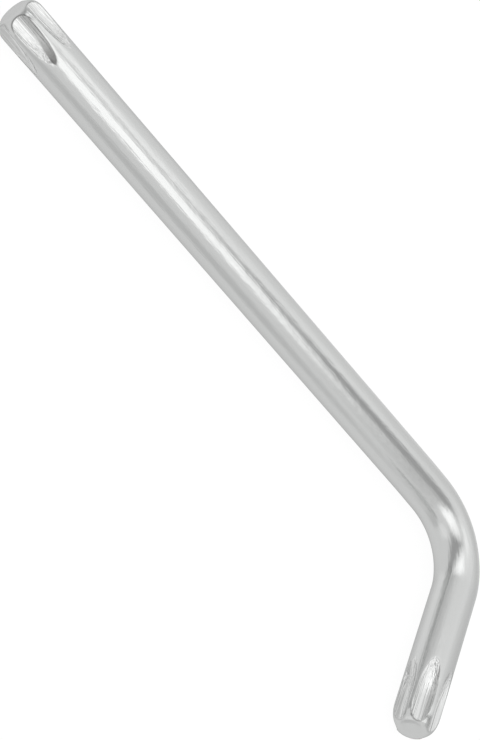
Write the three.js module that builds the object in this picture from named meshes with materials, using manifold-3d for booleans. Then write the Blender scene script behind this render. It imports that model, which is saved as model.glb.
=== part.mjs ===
// Star wrench: one round steel bar bent square into an L, with a six-lobe drive formed on both ends.
// Millimetres, +Z up. The wrench lies flat on z = 0, long arm along X, short arm along Y.
// The origin is under the middle of its outline. The five solids are stretches of one bar, face to face.
import * as THREE from 'three';
import { mergeVertices } from 'three/addons/utils/BufferGeometryUtils.js';
import Module from 'manifold-3d';

const wasm = await Module();
wasm.setup();

// Bar
const barDiameter = 4.5;
const longReach = 73.5; // from the long arm's end face to the far side of the short arm
const shortReach = 26.3; // from the short arm's end face to the far side of the long arm
const bendRadius = 7.2; // along the bar's centre line

// Star drive
const lobeCount = 6;
const valleyDiameter = 3.1; // across two opposite flute floors
const fluteRadius = 1.12; // hollow of one flute
const longFluteLength = 5.5; // from the end face to where the flutes fade out
const shortFluteLength = 7.2;
const runoutRadius = 13; // arc along which a flute's floor rises out of the bar
const longStarTurn = THREE.MathUtils.degToRad(-5); // turn of a flute about its arm, from straight up
const shortStarTurn = THREE.MathUtils.degToRad(23);
const faceDiameter = 1.8; // flat middle of an end
const longNoseLength = 1.4; // from the end face back to where the bar has its full thickness
const shortNoseLength = 2.5;
const noseSquareness = 2.5; // 2 makes a nose's profile an ellipse, and more makes its shoulder squarer
const tipShoulder = 0.9; // plain bar behind the flutes that belongs to the tip

// Finish
const platingColour = 0xc8cbc9;
const platingRoughness = 0.22;

// Facets
const barSides = 40;
const bendSteps = 12;
const fluteSides = 28;
const fluteSteps = 24;
const noseSteps = 8;

// Places worked out from the sizes above
const barRadius = barDiameter / 2;
const valleyRadius = valleyDiameter / 2;
const faceRadius = faceDiameter / 2;
const longAxisY = shortReach / 2 - barRadius;
const shortAxisX = longReach / 2 - barRadius;
const bendStartX = shortAxisX - bendRadius;
const bendEndY = longAxisY - bendRadius;
const longTipLength = longFluteLength + tipShoulder;
const shortTipLength = shortFluteLength + tipShoulder;
const fullTurn = 2 * Math.PI;
const quarterTurn = fullTurn / 4;
const halfSide = fullTurn / barSides / 2; // turns the facets so that the bar rests on a flat one

// Centre line of the bend, from the long arm round to the short arm
class BendLine extends THREE.Curve {
  getPoint(t, target = new THREE.Vector3()) {
    const angle = t * quarterTurn;
    const x = bendStartX + bendRadius * Math.sin(angle);
    const y = bendEndY + bendRadius * Math.cos(angle);
    return target.set(x, y, barRadius);
  }

  getTangent(t, target = new THREE.Vector3()) {
    const angle = t * quarterTurn;
    return target.set(Math.cos(angle), -Math.sin(angle), 0);
  }
}

// Line that the middle of the flute cutter follows: in from the end, then up an arc and out of the bar
class FluteLine extends THREE.Curve {
  constructor(fluteLength) {
    super();
    const depth = barRadius - valleyRadius;
    const fadeAngle = Math.acos(1 - depth / runoutRadius);
    const liftAngle = 2 * fadeAngle; // far enough round to lift the cutter clear of the bar
    this.arcStart = fluteLength - runoutRadius * Math.sin(fadeAngle);
    this.arcRadius = runoutRadius - fluteRadius;
    this.arcCentre = valleyRadius + runoutRadius;
    this.overrun = fluteRadius; // how far the cutter starts outside the end face
    this.straight = this.overrun + this.arcStart;
    this.total = this.straight + this.arcRadius * liftAngle;
  }

  getPoint(t, target = new THREE.Vector3()) {
    const travel = t * this.total;
    const angle = Math.max(0, travel - this.straight) / this.arcRadius;
    const along = Math.min(travel, this.straight) - this.overrun + this.arcRadius * Math.sin(angle);
    return target.set(0, along, this.arcCentre - this.arcRadius * Math.cos(angle));
  }

  getTangent(t, target = new THREE.Vector3()) {
    const angle = Math.max(0, t * this.total - this.straight) / this.arcRadius;
    return target.set(0, Math.cos(angle), Math.sin(angle));
  }
}

function polygonShape(radius, sides) {
  const corners = [];
  for (let i = 0; i < sides; i += 1) {
    const angle = (i + 0.5) * fullTurn / sides;
    corners.push(new THREE.Vector2(radius * Math.cos(angle), radius * Math.sin(angle)));
  }
  return new THREE.Shape(corners);
}

// Closed geometry to a solid that can be cut
function toSolid(geometry) {
  const bare = geometry.clone();
  bare.deleteAttribute('normal');
  bare.deleteAttribute('uv');
  const merged = mergeVertices(bare);
  const index = merged.index.array;
  const triangles = [];
  for (let i = 0; i < index.length; i += 3) {
    const [a, b, c] = [index[i], index[i + 1], index[i + 2]];
    if (a !== b && b !== c && c !== a) {
      triangles.push(a, b, c);
    }
  }
  const vertProperties = new Float32Array(merged.attributes.position.array);
  const triVerts = new Uint32Array(triangles);
  return new wasm.Manifold(new wasm.Mesh({ numProp: 3, vertProperties, triVerts }));
}

function toGeometry(solid) {
  const mesh = solid.getMesh();
  const geometry = new THREE.BufferGeometry();
  geometry.setAttribute('position', new THREE.BufferAttribute(new Float32Array(mesh.vertProperties), 3));
  geometry.setIndex(new THREE.BufferAttribute(new Uint32Array(mesh.triVerts), 1));
  const faceted = geometry.toNonIndexed();
  faceted.computeVertexNormals();
  return faceted;
}

function barMesh(name, geometry) {
  const plating = new THREE.MeshStandardMaterial({
    color: platingColour,
    metalness: 1,
    roughness: platingRoughness,
  });
  const mesh = new THREE.Mesh(geometry, plating);
  mesh.name = name;
  return mesh;
}

// Straight stretch of bar along Y, centred on its own origin
function straightBar(name, length) {
  const geometry = new THREE.CylinderGeometry(barRadius, barRadius, length, barSides, 1, false, halfSide);
  return barMesh(name, geometry);
}

// Rounded end with its flutes, along Y, with the end face at y = 0
function starTip(name, fluteLength, noseLength, starTurn) {
  const tipLength = fluteLength + tipShoulder;
  const profile = [new THREE.Vector2(0, 0)];
  for (let i = 0; i <= noseSteps; i += 1) {
    const angle = i * quarterTurn / noseSteps;
    const outShare = Math.sin(angle) ** (2 / noseSquareness);
    const backShare = 1 - Math.max(0, Math.cos(angle)) ** (2 / noseSquareness);
    const out = faceRadius + (barRadius - faceRadius) * outShare;
    profile.push(new THREE.Vector2(out, noseLength * backShare));
  }
  profile.push(new THREE.Vector2(barRadius, tipLength));
  profile.push(new THREE.Vector2(0, tipLength));
  let solid = toSolid(new THREE.LatheGeometry(profile, barSides, halfSide));
  const cutter = new THREE.ExtrudeGeometry(polygonShape(fluteRadius, fluteSides), {
    steps: fluteSteps,
    extrudePath: new FluteLine(fluteLength),
  });
  for (let i = 0; i < lobeCount; i += 1) {
    const turned = cutter.clone().rotateY(starTurn + i * fullTurn / lobeCount);
    solid = solid.subtract(toSolid(turned));
  }
  return barMesh(name, toGeometry(solid));
}

function makeLongArm() {
  const start = -longReach / 2 + longTipLength;
  const arm = straightBar('long_arm', bendStartX - start);
  arm.rotation.z = -quarterTurn;
  arm.position.set((start + bendStartX) / 2, longAxisY, barRadius);
  return arm;
}

function makeShortArm() {
  const start = -shortReach / 2 + shortTipLength;
  const arm = straightBar('short_arm', bendEndY - start);
  arm.position.set(shortAxisX, (start + bendEndY) / 2, barRadius);
  return arm;
}

function makeBend() {
  const geometry = new THREE.ExtrudeGeometry(polygonShape(barRadius, barSides), {
    steps: bendSteps,
    extrudePath: new BendLine(),
  });
  return barMesh('bend', geometry);
}

function makeLongTip() {
  const tip = starTip('long_arm_star_tip', longFluteLength, longNoseLength, longStarTurn);
  tip.rotation.z = -quarterTurn;
  tip.position.set(-longReach / 2, longAxisY, barRadius);
  return tip;
}

function makeShortTip() {
  const tip = starTip('short_arm_star_tip', shortFluteLength, shortNoseLength, shortStarTurn);
  tip.position.set(shortAxisX, -shortReach / 2, barRadius);
  return tip;
}

const wrench = new THREE.Group();
wrench.add(makeLongTip(), makeLongArm(), makeBend(), makeShortArm(), makeShortTip());

export default wrench;
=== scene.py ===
"""Star wrench: one plated steel bar bent square, with a six-lobe drive formed on both ends.

The bar is one unbroken skin that stands for the five CAD stretches. It is worked out straight,
from the long arm's end face to the short arm's, and then bent. That direction is the way ahead.
Sizes are in millimetres until a mesh is made, and shares run from 0 to 1.
"""

import math

import bmesh
import bpy
import numpy as np
from mathutils import Matrix, Vector, noise


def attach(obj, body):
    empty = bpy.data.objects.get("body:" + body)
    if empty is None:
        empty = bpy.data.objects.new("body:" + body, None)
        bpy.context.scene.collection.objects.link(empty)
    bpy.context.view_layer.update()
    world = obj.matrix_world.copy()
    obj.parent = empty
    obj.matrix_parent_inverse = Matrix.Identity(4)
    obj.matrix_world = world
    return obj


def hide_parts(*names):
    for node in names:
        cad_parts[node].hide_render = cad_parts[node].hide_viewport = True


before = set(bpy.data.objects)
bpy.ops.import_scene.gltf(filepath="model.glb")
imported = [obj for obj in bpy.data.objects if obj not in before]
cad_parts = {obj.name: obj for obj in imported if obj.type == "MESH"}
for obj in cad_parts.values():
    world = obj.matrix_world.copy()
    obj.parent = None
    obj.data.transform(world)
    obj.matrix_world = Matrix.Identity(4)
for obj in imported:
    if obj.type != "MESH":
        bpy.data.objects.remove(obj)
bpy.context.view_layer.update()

MM = 0.001
WHITE = (1, 1, 1, 1)

# Bar
BAR_RADIUS = 2.25
LONG_REACH = 73.5  # from the long arm's end face to the far side of the short arm
SHORT_REACH = 26.3  # from the short arm's end face to the far side of the long arm
BEND_RADIUS = 7.2  # along the bar's centre line

# Star drive
LOBES = 6
VALLEY_RADIUS = 1.55  # from the axis to a flute's floor
FLUTE_RADIUS = 1.12  # hollow of one flute
RUNOUT_RADIUS = 13.0  # arc along which a flute's floor rises out of the bar
LONG_FLUTE = 5.5  # from the end face to where the flutes fade out
SHORT_FLUTE = 7.2
LONG_TURN = math.radians(-5)  # from straight up towards the right of the way ahead
SHORT_TURN = math.radians(-23)
FACE_RADIUS = 0.9  # flat middle of an end
LONG_NOSE = 1.4  # from the end face back to where the bar has its full thickness
SHORT_NOSE = 2.5
NOSE_SQUARENESS = 2.5  # 2 makes a nose's profile an ellipse, and more makes its shoulder squarer
EDGE_ROUNDING = 0.09

# Marks that the bending tool left: bend angle in degrees, side of the bar, height, length along the bar
OUTER_SIDE = math.radians(-90)
INNER_SIDE = math.radians(90)
BEND_MARKS = (
    (12, OUTER_SIDE, -0.16, 2.2),
    (6, INNER_SIDE, 0.1, 2.0),
    (48, INNER_SIDE, -0.12, 2.2),
)

# Burrs at the flutes' corners: distance from the end face, angle about the bar, height, radius
LONG_BURRS = ((0.42, math.radians(33), 0.09, 0.16), (1.0, math.radians(82), 0.04, 0.2))
SHORT_BURRS = ((0.75, math.radians(63), 0.09, 0.17), (0.3, math.radians(60), 0.05, 0.14))

# Slow waviness of the drawn bar: height, size around, size along
WAVE_HEIGHT = 0.0035
WAVE_AROUND = 0.9
WAVE_ALONG = 5.0

# Painted shade: darkening painted into the flutes and along their edges at the nose, in place of the shade
# and dark reflections there
FLUTE_FADE = 0.06  # depth under the plain bar's skin at which a point is fully in a flute
NOTCH_SHADE_WIDTH = 0.08  # painted shade: a dark line along a flute's edge at the nose
NOTCH_REACH = 0.5  # from the end face to where that line starts to fade
NOTCH_FADE = 1.0
SHADE_LENGTH = 3.0  # stretch up to a flute's end along which the painted shade grows
SHADE_LEAST = 0.4  # share of it from there to the nose
SHADE_EDGE = 0.25  # softness of its edge, as a share of a flute's half width

# How far across a flute the painted shade reaches at the nose and at the run-out, from -1 to 1
LONG_SIDES = (-0.1, 0.45)
SHORT_SIDES = (-0.4, -0.75)

# Painted shade in each flute, from the top one round. Below 0 it is a thin line of painted shade on the
# flute's other wall
LONG_SHADE = (0.2, 1.0, -0.4, 0.8, -0.4, 0.7)
SHORT_SHADE = (0.05, 0.8, -0.35, 0.65, -0.35, 0.55)
THIN_SIDE = -0.4
THIN_DEPTH = 0.8

# Finish
PLATING = (0.74, 0.748, 0.742, 1)
FLUTE_PLATING = (0.87, 0.877, 0.871, 1)
# dark colour of the painted shade in the flutes
PAINTED_SHADE = (0.27, 0.27, 0.265, 1)
GLANCING_TINT = (0.75, 0.75, 0.75, 1)
BRIGHT_ROUGHNESS = 0.13
DULL_ROUGHNESS = 0.21
FLUTE_POLISH = 0.45  # a flute's roughness as a share of the bar's

# Grain of the finish: size across the bar, size along it, noise detail
STREAK_GRAIN = (0.5, 5.0, 3.0)
LINE_GRAIN = (0.16, 8.0, 2.0)
MOTTLE_GRAIN = (0.28, 1.1, 2.0)
STREAK_RANGE = (0.3, 0.7)  # noise values where the plating is brightest and dullest

# Height of draw lines and of mottling, on the bar and in the flutes
BAR_LINES = 0.012
FLUTE_LINES = 0.11
BAR_MOTTLE = 0.018
FLUTE_MOTTLE = 0.005

# Mesh columns, gathered at the flutes' edges
HALF_FLUTE_COLUMNS = 9
EDGE_COLUMNS = 6
HALF_LOBE_COLUMNS = 5
HALF_COLUMNS = HALF_FLUTE_COLUMNS + EDGE_COLUMNS + HALF_LOBE_COLUMNS
AROUND = 2 * HALF_COLUMNS * LOBES
SECTOR = 2 * math.pi / LOBES
COLUMN_COUNT = np.arange(-HALF_COLUMNS, HALF_COLUMNS)
EVEN_COLUMNS = COLUMN_COUNT * SECTOR / 2 / HALF_COLUMNS
EDGE_SPREAD = math.radians(2.2)  # how far the gathered columns lie to each side of an edge
LEAST_EDGE = math.radians(3.5)  # least half angle of a flute that the columns follow

# Mesh rings, closest where a flute's edge turns across the bar
NOSE_PIVOT = 1.6  # place on the axis that the rays over a nose start from
NOSE_LEANS = ((40, 4), (62, 0.8), (90, 2))  # a ray's lean up to which a step holds, and the step, in degrees
RUNOUT_BEFORE = 1.4  # finely stepped stretch on both sides of a flute's end
RUNOUT_BEHIND = 0.15
TIP_SHOULDER = 0.9  # plain bar behind the flutes where the columns even out
FLUTE_STEP = 0.09
RUNOUT_STEP = 0.035
SHOULDER_STEP = 0.12
ARM_STEP = 0.3
BEND_STEPS = 64
RAY_REACH = 3 * BAR_RADIUS  # well outside the bar
HALVINGS = 36  # of a ray or an angle, until the place sought on it is near enough
TINY = 1e-6  # keeps a division from being by 0

# Floor, with its size in metres
FLOOR_HALF = 3.0
FLOOR_GREY = (0.12, 0.12, 0.12, 1)
FLOOR_ROUGHNESS = 0.9
FLOOR_GLOW = 0.93

# Light tent, with soft lamps and darker gaps laid over one another in this order
TENT_RADIUS = 200
TENT_SEGMENTS = 96
TENT_LEVEL = 0.77
# azimuth, elevation, radius at full strength and radius at which it has faded out in degrees, level
SPOTS = (
    (150, 60, 50, 80, 0.4),
    (-50, 55, 25, 30, 0.05),
    (-70, -20, 0, 25, 0.6),
    (120, 45, 0, 50, 1.4),
    (-80, 60, 5, 35, 1.15),
    (-50, 45, 0, 25, 1.4),
    (55, 60, 0, 45, 0.9),
    (-20, 30, 0, 40, 0.5),
    (-10, 50, 0, 20, 0.4),
    (50, 75, 0, 15, 1.1),
    (110, 15, 20, 45, 0.55),
    (30, -5, 10, 60, 0.7),
    (-70, 50, 0, 20, 1.3),
    (90, 20, 25, 45, 0.8),
    (50, -10, 0, 25, 0.95),
    (-105, 0, 10, 25, 0.9),
    (120, -30, 5, 25, 0.85),
)

# Camera, with its clip distances in metres
FOCAL_PIXELS = 2550  # focal length in pixels of an image that is so many pixels high
IMAGE_HEIGHT = 740
SENSOR = 36
CAMERA_PLACE = Vector((-101.71, -151.87, 141.66)) * MM
CAMERA_AHEAD = Vector((0.4414, 0.6652, -0.6022))
CAMERA_UP = Vector((-0.6714, 0.6901, 0.2702))
CLIP_START = 0.01
CLIP_END = 20

# Places that follow from the sizes
LONG_AXIS_Y = SHORT_REACH / 2 - BAR_RADIUS
SHORT_AXIS_X = LONG_REACH / 2 - BAR_RADIUS
BEND_START_X = SHORT_AXIS_X - BEND_RADIUS
BEND_END_Y = LONG_AXIS_Y - BEND_RADIUS
LONG_LENGTH = BEND_START_X + LONG_REACH / 2
SHORT_LENGTH = BEND_END_Y + SHORT_REACH / 2
BEND_LENGTH = BEND_RADIUS * math.pi / 2
TOTAL_LENGTH = LONG_LENGTH + BEND_LENGTH + SHORT_LENGTH


def smooth_max(a, b, width):
    """The larger of two distances, with the crease between them rounded over a width."""
    near = np.clip(1 - np.abs(a - b) / width, 0, 1)
    return np.maximum(a, b) + near * near * width / 4


def smooth_step(value):
    """A value held between 0 and 1, with a soft start and end."""
    share = np.clip(value, 0, 1)
    return share * share * (3 - 2 * share)


def meet(inside, outside, distance):
    """Where each ray from an inside point to an outside point leaves the solid, as (along, out)."""
    low = np.zeros(np.shape(outside[0]))
    high = np.ones(np.shape(outside[0]))
    for _ in range(HALVINGS):
        middle = (low + high) / 2
        along = inside[0] + (outside[0] - inside[0]) * middle
        out = inside[1] + (outside[1] - inside[1]) * middle
        within = distance(along, out) < 0
        low = np.where(within, middle, low)
        high = np.where(within, high, middle)
    return inside[0] + (outside[0] - inside[0]) * low, inside[1] + (outside[1] - inside[1]) * low


def whole_angles(near, turn):
    """Angles about the bar from angles about the nearest flute."""
    sector = np.repeat(np.arange(LOBES), 2 * HALF_COLUMNS)
    return near + turn + sector * SECTOR


def stepped(start, stretches):
    """Places after a start, through stretches that are each given by their end and their widest step."""
    places = []
    for end, step in stretches:
        count = math.ceil((end - start) / step)
        places += list(np.linspace(start, end, count + 1)[1:])
        start = end
    return places


class Star:
    """One end of the bar: a domed nose with six flutes. Along runs in from the end face."""

    def __init__(self, flute_length, nose_length, turn, burrs, painted_shade, sides):
        fade = math.acos(1 - (BAR_RADIUS - VALLEY_RADIUS) / RUNOUT_RADIUS)
        self.arc_start = flute_length - RUNOUT_RADIUS * math.sin(fade)
        self.arc_centre = VALLEY_RADIUS + RUNOUT_RADIUS
        self.arc_radius = RUNOUT_RADIUS - FLUTE_RADIUS
        self.length = flute_length
        self.nose = nose_length
        self.turn = turn
        self.burrs = burrs
        self.painted_shade = painted_shade
        self.sides = sides

    def plain(self, along, out):
        """Signed distance to the bar with its domed nose, before the flutes are cut."""
        a = np.maximum(out - FACE_RADIUS, 0)
        b = np.maximum(self.nose - along, 0)
        flank = BAR_RADIUS - FACE_RADIUS
        power = NOSE_SQUARENESS
        size = ((a / flank) ** power + (b / self.nose) ** power) ** (1 / power)
        share = np.maximum(size, TINY)
        slope_out = (a / flank / share) ** (power - 1) / flank
        slope_along = (b / self.nose / share) ** (power - 1) / self.nose
        slope = np.hypot(slope_out, slope_along)
        return np.where(size > 0, (size - 1) / np.maximum(slope, TINY), -flank)

    def cutter(self, along, out, angle):
        """Signed distance to the round cutter of the flute that points along angle 0."""
        toward = out * np.cos(angle)
        beside = out * np.sin(angle)
        over = np.maximum(along - self.arc_start, 0)
        lift = np.hypot(self.arc_centre - toward, over) - self.arc_radius
        return np.hypot(lift, beside) - FLUTE_RADIUS

    def distance(self, along, out, angle):
        """Signed distance to the finished end; the angle is counted from the nearest flute."""
        solid = self.plain(along, out)
        solid = smooth_max(solid, -self.cutter(along, out, angle), EDGE_ROUNDING)
        far = angle - np.sign(angle) * SECTOR
        return smooth_max(solid, -self.cutter(along, out, far), EDGE_ROUNDING)

    def edge_angle(self, along, out):
        """Half the angle that a flute takes up on the plain skin at one place along the bar."""
        low = 0.0
        high = SECTOR / 2
        for _ in range(HALVINGS):
            middle = (low + high) / 2
            if self.cutter(along, out, middle) < 0:
                low = middle
            else:
                high = middle
        return low

    def columns(self, along, out):
        """Angles of one ring's points from the nearest flute's middle, gathered at the flute's edges."""
        edge = max(self.edge_angle(along, out), LEAST_EDGE)
        marks = (0, HALF_FLUTE_COLUMNS, HALF_FLUTE_COLUMNS + EDGE_COLUMNS, HALF_COLUMNS)
        angles = (0, edge - EDGE_SPREAD, edge + EDGE_SPREAD, SECTOR / 2)
        gathered = np.sign(COLUMN_COUNT) * np.interp(np.abs(COLUMN_COUNT), marks, angles)
        share = smooth_step((along - self.length) / TIP_SHOULDER)
        return np.tile(gathered + (EVEN_COLUMNS - gathered) * share, LOBES)

    def painted_shade_share(self, along, out, near, flute):
        """How much painted shade, darkening the flutes and their edges at the nose, lies on each point of a
        ring.
        """
        edge = np.hypot(self.plain(along, out), self.cutter(along, out, near))
        notch = np.exp(-(edge / NOTCH_SHADE_WIDTH) ** 2)
        notch = notch * (1 - smooth_step((along - NOTCH_REACH) / NOTCH_FADE))
        grown = smooth_step((along - self.length + SHADE_LENGTH) / SHADE_LENGTH)
        half = near[HALF_COLUMNS + HALF_FLUTE_COLUMNS] + EDGE_SPREAD
        held = np.repeat(self.painted_shade, 2 * HALF_COLUMNS)
        side = np.where(held > 0, self.sides[0] + (self.sides[1] - self.sides[0]) * grown, THIN_SIDE)
        depth = np.where(held > 0, SHADE_LEAST + (1 - SHADE_LEAST) * grown, THIN_DEPTH)
        wall = smooth_step((side - np.sign(held) * near / half) / SHADE_EDGE)
        return np.maximum(notch, flute * depth * wall) * np.abs(held)

    def ring(self, along, out, near):
        """One finished ring: along, out, angle about the bar, share of flute, share of painted shade."""
        angle = whole_angles(near, self.turn)
        flute = smooth_step(-self.plain(along, out) / FLUTE_FADE)
        painted_shade = self.painted_shade_share(along, out, near, flute)
        for place, turn, height, radius in self.burrs:
            beside = BAR_RADIUS * (np.mod(angle - turn + math.pi, 2 * math.pi) - math.pi)
            far = np.hypot(along - place, beside) / radius
            out = out + height * np.exp(-far ** 2)
        return along, out, angle, flute, painted_shade

    def rays(self):
        """Rays whose meeting places with the skin give the rings, from near the pole to plain bar."""
        rays = []
        for lean in stepped(0, NOSE_LEANS):
            ahead = NOSE_PIVOT - RAY_REACH * math.cos(math.radians(lean))
            rays.append(((NOSE_PIVOT, 0.0), (ahead, RAY_REACH * math.sin(math.radians(lean)))))
        stretches = (
            (self.length - RUNOUT_BEFORE, FLUTE_STEP),
            (self.length + RUNOUT_BEHIND, RUNOUT_STEP),
            (self.length + TIP_SHOULDER, SHOULDER_STEP),
        )
        for place in stepped(NOSE_PIVOT, stretches):
            rays.append(((place, 0.0), (place, RAY_REACH)))
        return rays

    def rings(self):
        """Every ring of this end in order."""
        rings = []
        for inside, outside in self.rays():
            along, out = meet(inside, outside, self.plain)
            near = self.columns(float(along), float(out))
            ends = (np.full(AROUND, outside[0]), np.full(AROUND, outside[1]))
            along, out = meet(inside, ends, lambda a, o: self.distance(a, o, near))
            rings.append(self.ring(along, out, near))
        return rings


def bar_rings():
    """Every ring of the straightened bar in order."""
    long_end = Star(LONG_FLUTE, LONG_NOSE, LONG_TURN, LONG_BURRS, LONG_SHADE, LONG_SIDES)
    short_end = Star(SHORT_FLUTE, SHORT_NOSE, SHORT_TURN, SHORT_BURRS, SHORT_SHADE, SHORT_SIDES)
    start = LONG_FLUTE + TIP_SHOULDER
    bend_end = LONG_LENGTH + BEND_LENGTH
    end = TOTAL_LENGTH - SHORT_FLUTE - TIP_SHOULDER
    stretches = ((LONG_LENGTH, ARM_STEP), (bend_end, BEND_LENGTH / BEND_STEPS), (end, ARM_STEP))
    even = np.tile(EVEN_COLUMNS, LOBES)
    radius = np.full(AROUND, BAR_RADIUS)
    clean = np.zeros(AROUND)
    rings = long_end.rings()
    for place in stepped(start, stretches)[:-1]:
        share = (place - start) / (end - start)
        angle = whole_angles(even, LONG_TURN + (SHORT_TURN - LONG_TURN) * share)
        rings.append((np.full(AROUND, place), radius, angle, clean, clean))
    for along, *rest in reversed(short_end.rings()):
        rings.append((TOTAL_LENGTH - along, *rest))
    return rings


def bend_marks(along, angle):
    """How far the bending tool has pushed the skin out or in."""
    height = 0.0
    for bend_angle, side, push, length in BEND_MARKS:
        middle = LONG_LENGTH + BEND_RADIUS * math.radians(bend_angle)
        facing = np.maximum(np.cos(angle - side), 0)
        height = height + push * np.exp(-((along - middle) / length) ** 2) * facing ** 2
    return height


def waviness(along, angle):
    """Slow unevenness of the drawn bar."""
    heights = []
    for a, turn in zip(along, angle):
        place = Vector((math.sin(turn) / WAVE_AROUND, math.cos(turn) / WAVE_AROUND, a / WAVE_ALONG))
        heights.append(noise.noise(place * BAR_RADIUS))
    return WAVE_HEIGHT * np.array(heights)


def centre_line(along):
    """Place on the bar's centre line and the way ahead there."""
    if along <= LONG_LENGTH:
        return (along - LONG_REACH / 2, LONG_AXIS_Y), (1.0, 0.0)
    if along >= LONG_LENGTH + BEND_LENGTH:
        left = TOTAL_LENGTH - along
        return (SHORT_AXIS_X, left - SHORT_REACH / 2), (0.0, -1.0)
    turn = (along - LONG_LENGTH) / BEND_RADIUS
    place = (
        BEND_START_X + BEND_RADIUS * math.sin(turn),
        BEND_END_Y + BEND_RADIUS * math.cos(turn),
    )
    return place, (math.cos(turn), -math.sin(turn))


def bent(across, up, along):
    """A place on the finished bar from a place on the straightened one."""
    place, ahead = centre_line(along)
    return place[0] + ahead[1] * across, place[1] - ahead[0] * across, BAR_RADIUS + up


def skin_points(rings):
    """Places of the skin's points on the straightened bar, and their shares of flute and of painted shade,
    with the two poles last.

    A place is across, up and along. The shares are the share of flute, the share of painted shade and a
    spare 0.
    """
    straight = []
    flute_and_shade = []
    for along, out, angle, flute, painted_shade in rings:
        out = out + bend_marks(along, angle) + waviness(along, angle) - WAVE_HEIGHT
        # angle 0 is straight up, and it grows towards the right of the way ahead
        straight += zip(out * np.sin(angle), out * np.cos(angle), along)
        flute_and_shade += zip(flute, painted_shade, np.zeros(AROUND))
    for along in (0.0, TOTAL_LENGTH):
        straight.append((0.0, 0.0, along))
        flute_and_shade.append((0.0, 0.0, 0.0))
    return straight, flute_and_shade


def skin_faces(ring_count):
    """Bands between the rings, and a fan to the pole of each end."""
    faces = []
    for i in range(ring_count - 1):
        for j in range(AROUND):
            k = (j + 1) % AROUND
            faces.append((i * AROUND + j, i * AROUND + k, (i + 1) * AROUND + k, (i + 1) * AROUND + j))
    last_ring = (ring_count - 1) * AROUND
    first_pole = ring_count * AROUND
    last_pole = first_pole + 1
    for j in range(AROUND):
        faces.append(((j + 1) % AROUND, j, first_pole))
    for j in range(AROUND):
        faces.append((last_pole, last_ring + j, last_ring + (j + 1) % AROUND))
    return faces


def make_wrench():
    rings = bar_rings()
    straight, flute_and_shade = skin_points(rings)
    points = []
    for across, up, along in straight:
        points.append([size * MM for size in bent(across, up, along)])
    mesh = bpy.data.meshes.new("wrench_bar")
    mesh.from_pydata(points, [], skin_faces(len(rings)))
    for name, values in (("straight_bar", straight), ("flute_and_shade", flute_and_shade)):
        attribute = mesh.attributes.new(name, "FLOAT_VECTOR", "POINT")
        attribute.data.foreach_set("vector", np.array(values, np.float32).ravel())
    mesh.shade_smooth()
    mesh.validate()
    wrench = bpy.data.objects.new("wrench_bar", mesh)
    bpy.context.scene.collection.objects.link(wrench)
    return wrench


def plated_steel():
    """Bright plating with draw lines, streaks and mottling, keener in the flutes, and painted shade over it
    that darkens the flutes.
    """
    material = bpy.data.materials.new("plated_steel")
    material.use_nodes = True
    nodes = material.node_tree.nodes
    links = material.node_tree.links
    shader = nodes["Principled BSDF"]
    shader.inputs["Metallic"].default_value = 1.0
    shader.inputs["Specular Tint"].default_value = GLANCING_TINT
    straight = nodes.new("ShaderNodeAttribute")
    straight.attribute_name = "straight_bar"
    flute_and_shade = nodes.new("ShaderNodeAttribute")
    flute_and_shade.attribute_name = "flute_and_shade"
    shares = nodes.new("ShaderNodeSeparateXYZ")
    links.new(flute_and_shade.outputs["Vector"], shares.inputs["Vector"])
    flute = shares.outputs["X"]
    painted_shade = shares.outputs["Y"]

    def grain(across, along, detail):
        """Noise that is drawn out along the bar."""
        stretch = nodes.new("ShaderNodeVectorMath")
        stretch.operation = "MULTIPLY"
        stretch.inputs[1].default_value = (1 / across, 1 / across, 1 / along)
        links.new(straight.outputs["Vector"], stretch.inputs[0])
        texture = nodes.new("ShaderNodeTexNoise")
        texture.inputs["Scale"].default_value = 1.0
        texture.inputs["Detail"].default_value = detail
        links.new(stretch.outputs["Vector"], texture.inputs["Vector"])
        return texture.outputs["Fac"]

    def between(low, high, value, span=(0.0, 1.0)):
        """A number that goes from low to high as a value crosses a span."""
        node = nodes.new("ShaderNodeMapRange")
        node.inputs["From Min"].default_value = span[0]
        node.inputs["From Max"].default_value = span[1]
        node.inputs["To Min"].default_value = low
        node.inputs["To Max"].default_value = high
        links.new(value, node.inputs["Value"])
        return node.outputs["Result"]

    def combined(operation, first, second):
        node = nodes.new("ShaderNodeMath")
        node.operation = operation
        links.new(first, node.inputs[0])
        links.new(second, node.inputs[1])
        return node.outputs["Value"]

    # Draw lines, deeper in the flutes, and mottling
    lines = combined("MULTIPLY", grain(*LINE_GRAIN), between(BAR_LINES, FLUTE_LINES, flute))
    mottle = combined("MULTIPLY", grain(*MOTTLE_GRAIN), between(BAR_MOTTLE, FLUTE_MOTTLE, flute))
    bump = nodes.new("ShaderNodeBump")
    bump.inputs["Distance"].default_value = MM
    links.new(combined("ADD", lines, mottle), bump.inputs["Height"])
    links.new(bump.outputs["Normal"], shader.inputs["Normal"])

    # Duller and brighter streaks of plating
    streaks = between(BRIGHT_ROUGHNESS, DULL_ROUGHNESS, grain(*STREAK_GRAIN), STREAK_RANGE)
    roughness = combined("MULTIPLY", streaks, between(1.0, FLUTE_POLISH, flute))
    links.new(roughness, shader.inputs["Roughness"])

    # Brighter metal where the flutes were pressed, and painted shade over it that darkens the flutes and
    # their edges at the nose
    metal = nodes.new("ShaderNodeMix")
    metal.data_type = "RGBA"
    metal.inputs["A"].default_value = PLATING
    metal.inputs["B"].default_value = FLUTE_PLATING
    links.new(flute, metal.inputs["Factor"])
    colour = nodes.new("ShaderNodeMix")
    colour.data_type = "RGBA"
    links.new(metal.outputs["Result"], colour.inputs["A"])
    colour.inputs["B"].default_value = PAINTED_SHADE
    links.new(painted_shade, colour.inputs["Factor"])
    links.new(colour.outputs["Result"], shader.inputs["Base Color"])
    return material


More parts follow.
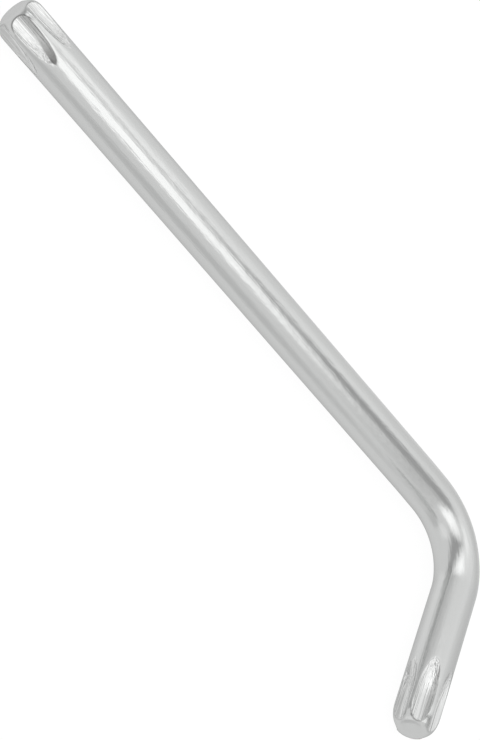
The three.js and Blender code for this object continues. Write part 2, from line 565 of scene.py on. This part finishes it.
def make_floor():
    """A plain pale floor that the metal doesn't mirror."""
    half = FLOOR_HALF
    corners = [(-half, -half, 0), (half, -half, 0), (half, half, 0), (-half, half, 0)]
    mesh = bpy.data.meshes.new("floor")
    mesh.from_pydata(corners, [], [(0, 1, 2, 3)])
    floor = bpy.data.objects.new("floor", mesh)
    bpy.context.scene.collection.objects.link(floor)
    material = bpy.data.materials.new("floor")
    material.use_nodes = True
    shader = material.node_tree.nodes["Principled BSDF"]
    shader.inputs["Base Color"].default_value = FLOOR_GREY
    shader.inputs["Roughness"].default_value = FLOOR_ROUGHNESS
    shader.inputs["Specular IOR Level"].default_value = 0.0
    shader.inputs["Emission Color"].default_value = WHITE
    shader.inputs["Emission Strength"].default_value = FLOOR_GLOW
    mesh.materials.append(material)
    floor.visible_glossy = False


def make_room():
    """Even light all round, outside the tent."""
    world = bpy.data.worlds.new("room")
    bpy.context.scene.world = world
    world.use_nodes = True
    background = world.node_tree.nodes["Background"]
    background.inputs["Color"].default_value = WHITE
    background.inputs["Strength"].default_value = TENT_LEVEL


def direction(azimuth, elevation):
    """Direction from two angles in degrees: azimuth from +X towards +Y, and elevation above the floor."""
    a = math.radians(azimuth)
    e = math.radians(elevation)
    return (math.cos(a) * math.cos(e), math.sin(a) * math.cos(e), math.sin(e))


def tent_level(nodes, links):
    """Light level on the tent, worked out from the place on it by laying one spot over another."""
    place = nodes.new("ShaderNodeNewGeometry")
    ahead = nodes.new("ShaderNodeVectorMath")
    ahead.operation = "NORMALIZE"
    links.new(place.outputs["Position"], ahead.inputs[0])
    level = None
    for azimuth, elevation, core, rim, strength in SPOTS:
        dot = nodes.new("ShaderNodeVectorMath")
        dot.operation = "DOT_PRODUCT"
        dot.inputs[1].default_value = direction(azimuth, elevation)
        links.new(ahead.outputs["Vector"], dot.inputs[0])
        fade = nodes.new("ShaderNodeMapRange")
        fade.interpolation_type = "SMOOTHSTEP"
        fade.inputs["From Min"].default_value = math.cos(math.radians(rim))
        fade.inputs["From Max"].default_value = math.cos(math.radians(core))
        links.new(dot.outputs["Value"], fade.inputs["Value"])
        mix = nodes.new("ShaderNodeMix")
        mix.data_type = "FLOAT"
        links.new(fade.outputs["Result"], mix.inputs["Factor"])
        mix.inputs["A"].default_value = TENT_LEVEL
        mix.inputs["B"].default_value = strength
        if level is not None:
            links.new(level, mix.inputs["A"])
        level = mix.outputs["Result"]
    return level


def make_tent():
    """A round light tent around the wrench, seen only in its mirroring."""
    shape = bmesh.new()
    bmesh.ops.create_uvsphere(
        shape,
        u_segments=TENT_SEGMENTS,
        v_segments=TENT_SEGMENTS // 2,
        radius=TENT_RADIUS * MM,
    )
    mesh = bpy.data.meshes.new("light_tent")
    shape.to_mesh(mesh)
    shape.free()
    material = bpy.data.materials.new("light_tent")
    material.use_nodes = True
    nodes = material.node_tree.nodes
    links = material.node_tree.links
    nodes.clear()
    glow = nodes.new("ShaderNodeEmission")
    links.new(tent_level(nodes, links), glow.inputs["Strength"])
    output = nodes.new("ShaderNodeOutputMaterial")
    links.new(glow.outputs["Emission"], output.inputs["Surface"])
    mesh.materials.append(material)
    tent = bpy.data.objects.new("light_tent", mesh)
    bpy.context.scene.collection.objects.link(tent)
    tent.visible_camera = False
    tent.visible_diffuse = False
    tent.visible_shadow = False


def make_camera():
    data = bpy.data.cameras.new("camera")
    data.sensor_width = SENSOR
    data.lens = FOCAL_PIXELS * SENSOR / IMAGE_HEIGHT
    data.clip_start = CLIP_START
    data.clip_end = CLIP_END
    camera = bpy.data.objects.new("camera", data)
    bpy.context.scene.collection.objects.link(camera)
    back = -CAMERA_AHEAD.normalized()
    right = CAMERA_UP.cross(back).normalized()
    up = back.cross(right)
    turn = Matrix((right, up, back)).transposed()
    camera.matrix_world = Matrix.Translation(CAMERA_PLACE) @ turn.to_4x4()
    bpy.context.scene.camera = camera


wrench = make_wrench()
wrench.data.materials.append(plated_steel())
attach(wrench, "root")
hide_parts("long_arm_star_tip", "long_arm", "bend", "short_arm", "short_arm_star_tip")

make_floor()
make_room()
make_tent()
make_camera()
bpy.context.scene.view_settings.view_transform = "Standard"
